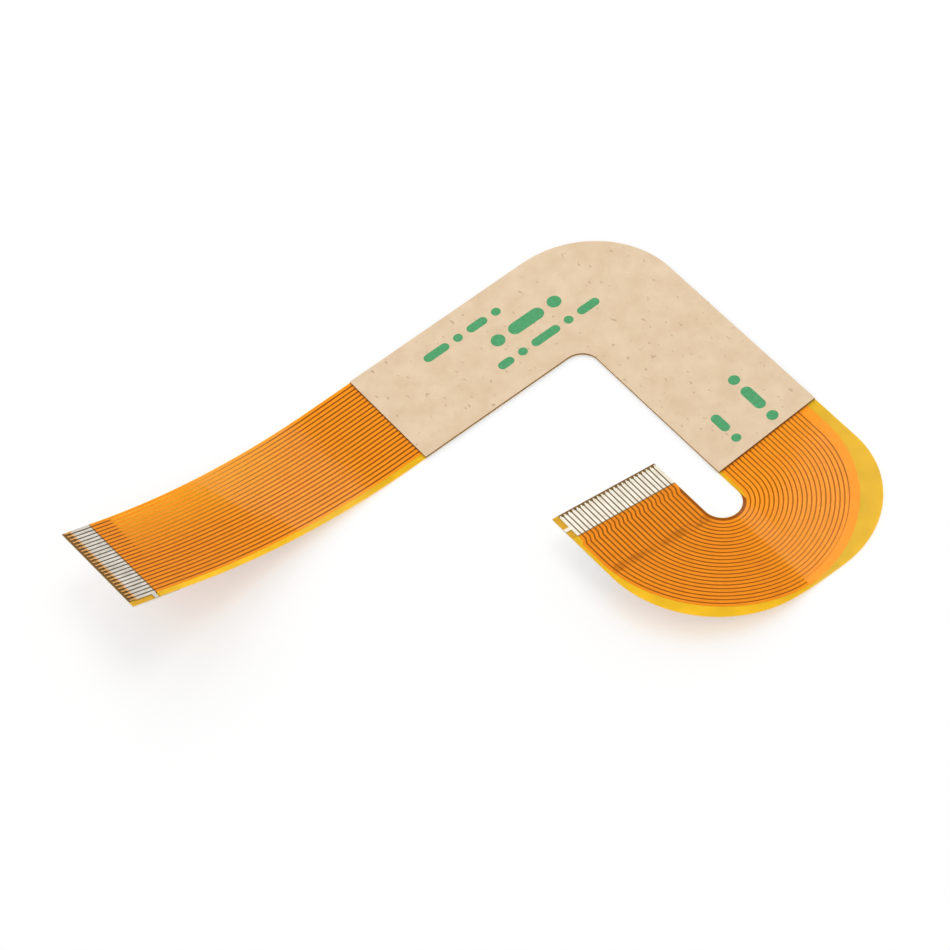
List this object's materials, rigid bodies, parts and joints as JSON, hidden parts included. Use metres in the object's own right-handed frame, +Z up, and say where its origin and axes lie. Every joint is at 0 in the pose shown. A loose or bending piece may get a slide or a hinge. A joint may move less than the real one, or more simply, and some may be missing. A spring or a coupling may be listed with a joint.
{
  "type": "flat flex cable",
  "caption": "J-shaped flexible printed cable with bare contact rows on stiffened ends and a paper-backed adhesive strip for holding it down.",
  "frame": {"origin": "on the film's underside, where the centre lines of the tail and the spine cross", "axes": "+Z up, away from the table and towards the contact side; +X along the tail to its tip; +Y along the spine to the U-turn"},
  "size_m": [0.0658, 0.0495, 0.0078],
  "materials": {
    "base_film": "clear amber polyimide film",
    "coverlay": "clear amber polyimide film, smooth and glossy",
    "copper": "rolled copper, bright tinned at the bare contacts",
    "adhesive": "clear soft acrylic transfer adhesive",
    "bond": "clear acrylic bonding film",
    "stiffener": "pale polyester sheet",
    "liner": "smooth kraft release paper"
  },
  "bodies": {
    "root": {"stiffener_tail": "stiffener", "stiffener_hook": "stiffener", "bond_tail": "bond", "bond_hook": "bond", "base_film": "base_film", "tied_conductors": "copper", "conductor_03": "copper", "conductor_04": "copper", "conductor_05": "copper", "conductor_06": "copper", "conductor_07": "copper", "conductor_08": "copper", "conductor_09": "copper", "conductor_10": "copper", "conductor_11": "copper", "conductor_12": "copper", "conductor_13": "copper", "conductor_14": "copper", "conductor_15": "copper", "conductor_16": "copper", "conductor_17": "copper", "conductor_18": "copper", "conductor_19": "copper", "conductor_20": "copper", "conductor_21": "copper", "conductor_22": "copper", "conductor_23": "copper", "conductor_24": "copper", "cover_adhesive": "bond", "coverlay": "coverlay", "transfer_adhesive": "adhesive", "release_liner": "liner"}
  },
  "joints": []
}
